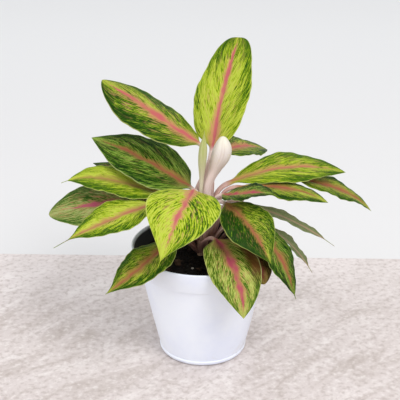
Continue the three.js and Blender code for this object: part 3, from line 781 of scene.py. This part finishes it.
def soil_height(x, y):
    """The lumpy top of the soil at a place, by layered noise."""
    radius = math.hypot(x, y)
    mound = SOIL_LEVEL + SOIL_MOUND * (1 - min(radius / SOIL_RADIUS, 1)) ** 2
    lumps = soil_layer(x, y, SOIL_LUMPS) + soil_layer(x, y, SOIL_PEBBLES)
    crumbs = abs(soil_layer(x, y, SOIL_CRUMBS))
    return mound + (lumps + crumbs) * smooth(SOIL_RADIUS - radius, 0, SOIL_MARGIN)


def make_soil():
    hole = STEM_RADIUS - SOIL_LAP
    hole_floor = STEM_FOOT - 0.2
    floor = POT_FLOOR + SOIL_GAP
    sides = taper(FOOT_BAND + 3, POT_WALL + SOIL_GAP, 8)
    top = [(lerp(SOIL_RADIUS, hole, k / SOIL_RINGS), SOIL_LEVEL) for k in range(SOIL_RINGS + 1)]
    profile = [(0, floor), (FOOT_FLAT, floor)] + sides + top + [(hole, hole_floor), (0, hole_floor)]
    bm = turned(profile, SOIL_SIDES)
    for vert in bm.verts:
        if vert.co.z > SOIL_LEVEL - 0.1:
            vert.co.z = soil_height(vert.co.x, vert.co.y)
    piece("soil_bed", bm, soil_paint("soil", "0d0908", "211915", 150), "soil", sharp=80)


def scatter(name, count, width, flat, paint, seed):
    """Small rough lumps lying on the soil, each nearly half sunk into it."""
    draw = random.Random(seed)
    bm = bmesh.new()
    for _ in range(count):
        radius = math.sqrt(draw.uniform(0.02, 1)) * (SOIL_RADIUS - LITTER_MARGIN)
        angle = draw.uniform(0, 2 * math.pi)
        x, y = radius * math.cos(angle), radius * math.sin(angle)
        across = draw.uniform(*width)
        grown = bmesh.ops.create_icosphere(bm, subdivisions=2, radius=across / 2)
        stretch = Vector((draw.uniform(0.7, 1.5), draw.uniform(0.7, 1.2), draw.uniform(*flat)))
        offset = Vector([draw.uniform(0, 50) for _ in range(3)])
        for vert in grown["verts"]:
            vert.co *= 1 + 0.5 * noise.noise(vert.co * (2.2 / across) + offset)
        turn = Matrix.Rotation(draw.uniform(0, 6.28), 4, "Z")
        tilt = Matrix.Rotation(draw.uniform(-0.5, 0.5), 4, "X")
        seat = Matrix.Translation((x, y, soil_height(x, y) + LITTER_SINK * across))
        scale = Matrix.Diagonal((*stretch, 1))
        bmesh.ops.transform(bm, matrix=seat @ turn @ tilt @ scale, verts=grown["verts"])
    piece(name, bm, soil_paint(*paint), None, sharp=60)


# ---------------------------------------------------------------- stem and spathes

def stem_radius(height):
    return lerp(STEM_RADIUS, STEM_TOP_RADIUS, smooth(height, SOIL_LEVEL, STEM_TOP))


def make_stem():
    rings = 12 * STEM_JOINTS
    profile = [(0, STEM_FOOT)]
    for k in range(rings + 1):
        height = lerp(STEM_FOOT, STEM_TOP, k / rings)
        joint = abs(math.sin(math.pi * STEM_JOINTS * height / (STEM_TOP - STEM_FOOT)))
        profile.append((stem_radius(height) - GROOVE_DEPTH * (1 - smooth(joint, 0, GROOVE_SHARE)), height))
    profile.append((0, STEM_TOP))
    piece("cane", turned(profile, 48), cane_paint(), "stem", sharp=60)


def spline(points, share):
    """The point and the direction at a share of the way along a smooth curve through the points."""
    points = [Vector(point) for point in points]
    reach = share * (len(points) - 1)
    k = min(int(reach), len(points) - 2)
    u = reach - k
    before = points[k - 1] if k > 0 else 2 * points[0] - points[1]
    after = points[k + 2] if k + 2 < len(points) else 2 * points[-1] - points[-2]
    a, b = points[k], points[k + 1]
    tangent_a, tangent_b = (b - before) / 2, (after - a) / 2
    cubic = 2 * a - 2 * b + tangent_a + tangent_b
    square = 3 * b - 3 * a - 2 * tangent_a - tangent_b
    point = a + tangent_a * u + square * u * u + cubic * u ** 3
    return point, (tangent_a + square * 2 * u + cubic * 3 * u * u).normalized()


def make_spathe(name, node, material, axis, radius_at, seam):
    """A spathe rolled round itself, so one edge laps over the other as a step that winds up it."""
    bm, pattern, places = tube(SPATHE_SIDES, SPATHE_RINGS)
    for vert, (i, k) in places.items():
        t = k / SPATHE_RINGS
        point, along = spline(axis, t)
        across = Vector((0, 1, 0)).cross(along).normalized()
        back = along.cross(across)
        turn = 2 * math.pi * i / SPATHE_SIDES
        lap = (turn / (2 * math.pi) + LAP_WIND * t + LAP_START) % 1
        radius = radius_at(t)
        flute = FLUTE_DEPTH * math.sin(FLUTES * turn + 3 * t) * smooth(t, 0.2, 0.5) * min(1, radius / 4)
        radius *= 1 + seam * smooth(t, 0.3, 0.5) * (lap - 0.5) * smooth(lap, 0.0, LAP_EDGE)
        radius += flute
        vert.co = point + across * radius * math.cos(turn) + back * radius * math.sin(turn)
        vert[pattern] = (math.sin(turn), t, 1)
    piece(name, bm, material, node, sharp=55)


def make_spathes():
    """The white one has a thick stalk, a swollen head and a domed tip. The green one is slim and pointed.
    Each axis is a list of points up the middle of the spathe."""

    def white_radius(t):
        bulb = 4.5 * math.sin(math.pi * smooth(t, 0.3, 1.15)) ** 1.3
        dome = math.sqrt(1 - max((t - 0.8) / 0.2, 0) ** 2.6)
        return max((4.8 + bulb) * dome, 0.2)

    def green_radius(t):
        swell = 2.2 * math.sin(math.pi * smooth(t, 0.35, 1.1))
        return max(1.9 + swell - 2.1 * smooth(t, 0.8, 1.0), 0.15)

    white = [(3.6, -3.8, 168.5), (4.8, -6.6, 190), (12.5, -8, 209), (19, -9, 226), (20, -9, 242.5)]
    green = [(-3.8, -4.9, 168.5), (-1.7, -10.3, 190), (-0.6, -12.5, 218), (1.5, -12.5, 249.5)]
    ivory_paint = spathe_paint("spathe_ivory", "dfc8c2", "e2dad4", "d2c4bd", "dedac6")
    make_spathe("spathe_ivory", "spathe_white", ivory_paint, white, white_radius, 0.16)
    green_paint = spathe_paint("spathe_pale_green", "d6ccb6", "bfc08a", "a2aa5c", "9ca24a")
    make_spathe("spathe_pale_green", "spathe_green", green_paint, green, green_radius, 0.22)


# ---------------------------------------------------------------- leaves

def half_width(t, leaf):
    """Half of the blade's width at t from its base to its tip."""
    along = min(t / (1 - leaf.get("tail", 0)), 1)
    shift = math.log(0.5) / math.log(leaf.get("broadest", BROADEST))
    outline = max(math.sin(math.pi * along ** shift), 0)
    outline **= lerp(leaf.get("blunt", BASE_BLUNT), leaf.get("point", TIP_POINT), along)
    return max(leaf["width"] / 2 * outline, TAIL_RADIUS)


def midline(leaf):
    """The control points of the petiole's curve and of the blade's, and the direction to their left."""
    turn = math.radians(leaf["azimuth"])
    outward = Vector((math.cos(turn), math.sin(turn), 0))
    left = Vector((-math.sin(turn), math.cos(turn), 0))

    def place(at, side=0.0):
        return outward * at[0] + left * side + Vector((0, 0, at[1]))

    def step(at, degrees, length, side=0.0):
        slant = math.radians(degrees)
        return place((at[0] + length * math.cos(slant), at[1] + length * math.sin(slant)), side)

    direction, height = leaf["start"]
    base, tip = leaf["base"], leaf["tip"]
    seat = SHEATH_RADIUS * math.cos(math.radians(leaf["spread"])) + CLEARANCE
    start = (stem_radius(height) + seat, height)
    aside = Matrix.Rotation(math.radians(direction - leaf["azimuth"]), 3, "Z")
    stalk = math.dist(start, base)
    length = math.dist(base, tip)
    slope = math.degrees(math.atan2(tip[1] - base[1], tip[0] - base[0]))
    rise, droop = slope + leaf["rise"], slope - leaf["droop"]
    petiole = [
        aside @ place(start), aside @ step(start, 90 - leaf["spread"], PETIOLE_FOOT_HANDLE * stalk),
        step(base, rise, -min(PETIOLE_TOP_HANDLE * stalk, 0.8 * base[0])), place(base),
    ]
    blade = [
        place(base), step(base, rise, BLADE_HANDLE * length, leaf["sway"]),
        step(tip, droop, -BLADE_HANDLE * length, leaf["sway"]), place(tip),
    ]
    return petiole, blade, left


def bezier(points, u):
    """The point and the direction at u along a curve from the first point to the last."""
    v = 1 - u
    a, b, c, d = points
    point = a * v ** 3 + b * (3 * u * v * v) + c * (3 * u * u * v) + d * u ** 3
    along = (b - a) * (v * v) + (c - b) * (2 * u * v) + (d - c) * (u * u)
    return point, along.normalized()


def near_rib(distance, width):
    """1 on the rib, fading to 0 beside it."""
    return math.exp(-((distance / width) ** 2))


def blade_section(leaf, t, c, upper, seed):
    """A point of the blade, across its midline: sideways and up. c runs from 1 at the left margin to -1
    at the right one."""
    along = max(t, 0)
    half = half_width(along, leaf)
    side = abs(c)
    middle = math.sin(math.pi * along)
    shift, small_shift = (0, 0) if c > 0 else (WAVE_SHIFT, CRINKLE_SHIFT)
    wave = MARGIN_WAVE * math.sin(2 * math.pi * WAVES * t + shift) * middle
    wave += CRINKLE * math.sin(2 * math.pi * CRINKLES * t + seed + small_shift) * middle * side ** 3
    lift = half * (math.tan(math.radians(leaf["fold"])) * side - BLADE_CURL * side ** 2) + wave * side ** 2
    vein = abs(math.sin(math.pi * VEINS * (along - VEIN_LEAN * side ** VEIN_BEND))) ** 0.6
    lift += QUILT * vein * smooth(side, 0.04, 0.25) * (1 - smooth(side, 0.75, 1)) * middle ** 0.5
    lift -= RIB_GROOVE * near_rib(half * side, RIB_WIDTH) * (1 - along) ** 0.5
    thick = BLADE_THICKNESS * (1 - MARGIN_THINNER * side) * (1 - TIP_THINNER * smooth(t, 0.9, 1))
    keel = (1 - along) * (PETIOLE_RADIUS - thick / 2) * near_rib(half * side, KEEL_WIDTH)
    return half * c, lift + (thick / 2 if upper else -thick / 2 - keel)


def petiole_section(look, t, turn):
    """A point of the petiole, across its midline: sideways and up. It widens into the sheath at its foot,
    bent round the stem."""
    sheath = smooth(-t, SHEATH_BEGINS, SHEATH_FULL)
    girth = lerp(PETIOLE_RADIUS, SHEATH_RADIUS, smooth(-t, 0, 1))
    tuck = 1 - SHEATH_TUCK * smooth(-t, SHEATH_TUCKS, 1)
    widen = 1 + look.get("neck", 0) + look.get("sheath", SHEATH_WIDEN) * sheath * tuck
    sideways = girth * math.cos(turn) * widen
    wrap = sheath * sideways ** 2 / (2 * STEM_WRAP)
    return sideways, girth * math.sin(turn) * (1 - SHEATH_FLATTEN * sheath) + wrap


def midline_frames(leaf):
    """For each ring, from the petiole's foot (t = -1) through the blade's base (0) to its tip (1): t, the
    middle of the ring, and the directions to its left and up from its face."""
    petiole, blade, left = midline(leaf)
    frames = []
    for k in range(PETIOLE_RINGS + BLADE_RINGS + 1):
        if k < PETIOLE_RINGS:
            t = k / PETIOLE_RINGS - 1
            centre, along = bezier(petiole, k / PETIOLE_RINGS)
        else:
            t = (1 - math.cos(math.pi * (k - PETIOLE_RINGS) / BLADE_RINGS)) / 2
            centre, along = bezier(blade, t)
        up = along.cross(left).normalized()
        across = up.cross(along)
        roll = math.radians(leaf["roll"]) * smooth(t, -0.2, 0.3)
        side = across * math.cos(roll) + up * math.sin(roll)
        normal = up * math.cos(roll) - across * math.sin(roll)
        frames.append((t, centre, side, normal))
    return frames


def make_leaf(name, leaf, look, seed):
    """One closed tube: round at the petiole, and pressed flat into the blade's two faces above it."""
    bm, pattern, places = tube(2 * BLADE_COLUMNS, PETIOLE_RINGS + BLADE_RINGS)
    from_rib = bm.verts.layers.float["from_rib"]
    frames = midline_frames(leaf)
    for vert, (i, k) in places.items():
        t, centre, side, normal = frames[k]
        upper = i < BLADE_COLUMNS
        share = 1 - 2 * (i % BLADE_COLUMNS) / (BLADE_COLUMNS - 1)
        c = math.copysign(abs(share) ** COLUMN_CROWDING, share) * (1 if upper else -1)
        flat_x, flat_z = blade_section(leaf, t, c, upper, seed)
        round_x, round_z = petiole_section(look, t, math.pi * (i + 0.5) / BLADE_COLUMNS)
        flatness = smooth(t, 0, FLAT_BY)
        vert.co = centre + side * lerp(round_x, flat_x, flatness) + normal * lerp(round_z, flat_z, flatness)
        vert[pattern] = (c, t, 1 if upper else -1)
        vert[from_rib] = abs(flat_x)
    piece(f"blade_{name}", bm, leaf_paint(name, look, seed), f"leaf_{name}", sharp=50)


# ---------------------------------------------------------------- stage, light and camera

def make_stage():
    bm = bmesh.new()
    bmesh.ops.create_grid(bm, x_segments=2, y_segments=2, size=FLOOR_SIZE)
    mesh = bpy.data.meshes.new("floor")
    bm.to_mesh(mesh)
    bm.free()
    floor = bpy.data.objects.new("floor", mesh)
    mesh.materials.append(stage_paint())
    bpy.context.scene.collection.objects.link(floor)


def make_light(name, place, size, power, tint):
    light = bpy.data.lights.new(name, "AREA")
    light.shape = "DISK"
    light.size = size
    light.energy = power
    light.color = tint
    lamp = bpy.data.objects.new(name, light)
    bpy.context.scene.collection.objects.link(lamp)
    lamp.location = place
    lamp.rotation_euler = (Vector(PLANT_MIDDLE) - Vector(place)).to_track_quat("-Z", "Y").to_euler()


def make_lighting():
    for name, settings in LIGHTS.items():
        make_light(name, **settings)
    world = bpy.data.worlds.new("soft_room")
    world.use_nodes = True
    background = world.node_tree.nodes["Background"]
    background.inputs["Color"].default_value = ROOM_TINT
    background.inputs["Strength"].default_value = ROOM_STRENGTH
    bpy.context.scene.world = world
    bpy.context.scene.view_settings.view_transform = "Standard"


def make_camera():
    lens = bpy.data.cameras.new("camera")
    lens.sensor_width = CAMERA_SENSOR
    lens.lens = CAMERA_LENS
    lens.clip_start = CAMERA_CLIP
    camera = bpy.data.objects.new("camera", lens)
    camera.location = CAMERA_PLACE
    camera.rotation_euler = (math.radians(CAMERA_PITCH), 0, 0)
    bpy.context.scene.collection.objects.link(camera)
    bpy.context.scene.camera = camera


make_camera()
make_lighting()
make_stage()
make_pot()
make_soil()
for litter_name, litter in LITTER.items():
    scatter(litter_name, **litter)
make_stem()
make_spathes()
for order, (leaf_name, leaf_shape) in enumerate(LEAVES.items()):
    make_leaf(leaf_name, leaf_shape, LOOKS[leaf_name], SEED_STEP * (order + 1))
